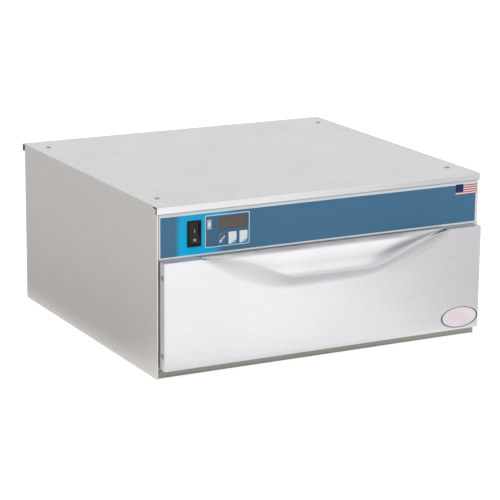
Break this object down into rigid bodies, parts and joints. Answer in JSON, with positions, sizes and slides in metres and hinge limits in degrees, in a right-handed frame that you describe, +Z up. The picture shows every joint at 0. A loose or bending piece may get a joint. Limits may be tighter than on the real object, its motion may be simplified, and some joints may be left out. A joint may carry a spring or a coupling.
{
  "type": "countertop warming drawer",
  "caption": "Low stainless-steel countertop warming cabinet with a full-width insulated drawer on roller slides and a blue control strip.",
  "frame": {"origin": "middle of the bottom of the whole object's box, on the surface it stands on", "axes": "+X to the right as seen from the front, +Y to the rear, +Z up; the drawer opens towards -Y"},
  "size_m": [0.624, 0.623, 0.2946],
  "materials": {
    "stainless_satin": "fine satin grain",
    "stainless_front": "fine satin grain, bright",
    "stainless_pan": "bright pressed",
    "stainless_fastener": "bright",
    "bright_steel": "turned",
    "nylon_roller": "moulded, satin",
    "overlay_film": "printed film, semi-gloss",
    "black_switch": "moulded",
    "black_rocker": "moulded, semi-gloss",
    "controller_plastic": "printed film face",
    "smoked_window": "smoked, glossy",
    "pilot_lens": "translucent white",
    "key_blue": "printed film",
    "key_pale": "printed film",
    "circuit_board": "lacquered board",
    "terminal_plastic": "moulded",
    "thermostat_body": "ceramic and plated steel",
    "black_bushing": "moulded nylon",
    "cable_jacket": "silicone jacket",
    "glass_fibre": "loose fibre blanket",
    "silicone_gasket": "matt silicone",
    "badge_plate": "printed plate with a dark rim"
  },
  "bodies": {
    "cabinet": {"base_pan": "stainless_satin", "bottom_front_rail": "stainless_satin", "cabinet_channel_left": "stainless_satin", "cabinet_channel_right": "stainless_satin", "cavity_liner": "stainless_satin", "component_tray": "stainless_satin", "control_fascia": "stainless_satin", "control_overlay": "overlay_film", "controller_board": "circuit_board", "controller_housing": "controller_plastic", "cord_bushing": "black_bushing", "display_window": "smoked_window", "front_roller_pin_left": "bright_steel", "front_roller_pin_right": "bright_steel", "heating_cable": "cable_jacket", "high_limit_thermostat": "thermostat_body", "indicator_lens": "pilot_lens", "insulation_bottom": "glass_fibre", "insulation_rear": "glass_fibre", "insulation_side_left": "glass_fibre", "insulation_side_right": "glass_fibre", "insulation_top": "glass_fibre", "probe_guard": "stainless_satin", "rear_panel": "stainless_satin", "rear_panel_screws": "stainless_fastener", "side_panel_left": "stainless_satin", "side_panel_right": "stainless_satin", "switch_housing": "black_switch", "temperature_probe": "bright_steel", "terminal_block": "terminal_plastic", "top_cover": "stainless_satin", "top_cover_screws": "stainless_fastener"},
    "drawer": {"drawer_front": "stainless_front", "handle_pocket": "stainless_front", "drawer_inner_panel": "stainless_satin", "drawer_gasket": "silicone_gasket", "drawer_front_insulation": "glass_fibre", "drawer_frame": "stainless_satin", "slide_rail_left": "stainless_satin", "slide_rail_right": "stainless_satin", "rear_roller_pin_left": "bright_steel", "rear_roller_pin_right": "bright_steel", "food_pan": "stainless_pan", "drawer_badge": "badge_plate", "drawer_side_screws": "stainless_fastener"},
    "front_roller_left": {"front_roller_left": "nylon_roller"},
    "front_roller_right": {"front_roller_right": "nylon_roller"},
    "rear_roller_left": {"rear_roller_left": "nylon_roller"},
    "rear_roller_right": {"rear_roller_right": "nylon_roller"},
    "switch_rocker": {"switch_rocker": "black_rocker"},
    "set_key": {"set_key": "key_blue"},
    "down_key": {"down_key": "key_pale"},
    "up_key": {"up_key": "key_pale"}
  },
  "joints": [
    {"name": "drawer_slide", "type": "slide", "parent": "cabinet", "child": "drawer", "axis": [0, -1, 0], "range_m": [0, 0.35]},
    {"name": "front_roller_left_spin", "type": "hinge", "parent": "cabinet", "child": "front_roller_left", "pos_m": [-0.2774, -0.2485, 0.15], "axis": [1, 0, 0], "continuous": true},
    {"name": "rear_roller_left_spin", "type": "hinge", "parent": "drawer", "child": "rear_roller_left", "pos_m": [-0.2747, 0.1955, 0.15], "axis": [1, 0, 0], "continuous": true},
    {"name": "front_roller_right_spin", "type": "hinge", "parent": "cabinet", "child": "front_roller_right", "pos_m": [0.2774, -0.2485, 0.15], "axis": [1, 0, 0], "continuous": true},
    {"name": "rear_roller_right_spin", "type": "hinge", "parent": "drawer", "child": "rear_roller_right", "pos_m": [0.2747, 0.1955, 0.15], "axis": [1, 0, 0], "continuous": true},
    {"name": "power_rocker", "type": "hinge", "parent": "cabinet", "child": "switch_rocker", "pos_m": [-0.244, -0.2635, 0.2422], "axis": [1, 0, 0], "range_deg": [0, 14]},
    {"name": "set_key_press", "type": "slide", "parent": "cabinet", "child": "set_key", "axis": [0, 1, 0], "range_m": [0, 0.0005], "stiffness_N_per_m": 800},
    {"name": "down_key_press", "type": "slide", "parent": "cabinet", "child": "down_key", "axis": [0, 1, 0], "range_m": [0, 0.0005], "stiffness_N_per_m": 800},
    {"name": "up_key_press", "type": "slide", "parent": "cabinet", "child": "up_key", "axis": [0, 1, 0], "range_m": [0, 0.0005], "stiffness_N_per_m": 800}
  ],
  "couplings": [
    {"joint": "front_roller_left_spin", "follows": "drawer_slide", "rad_per_m": 76.923},
    {"joint": "rear_roller_left_spin", "follows": "drawer_slide", "rad_per_m": 76.923},
    {"joint": "front_roller_right_spin", "follows": "drawer_slide", "rad_per_m": 76.923},
    {"joint": "rear_roller_right_spin", "follows": "drawer_slide", "rad_per_m": 76.923}
  ]
}
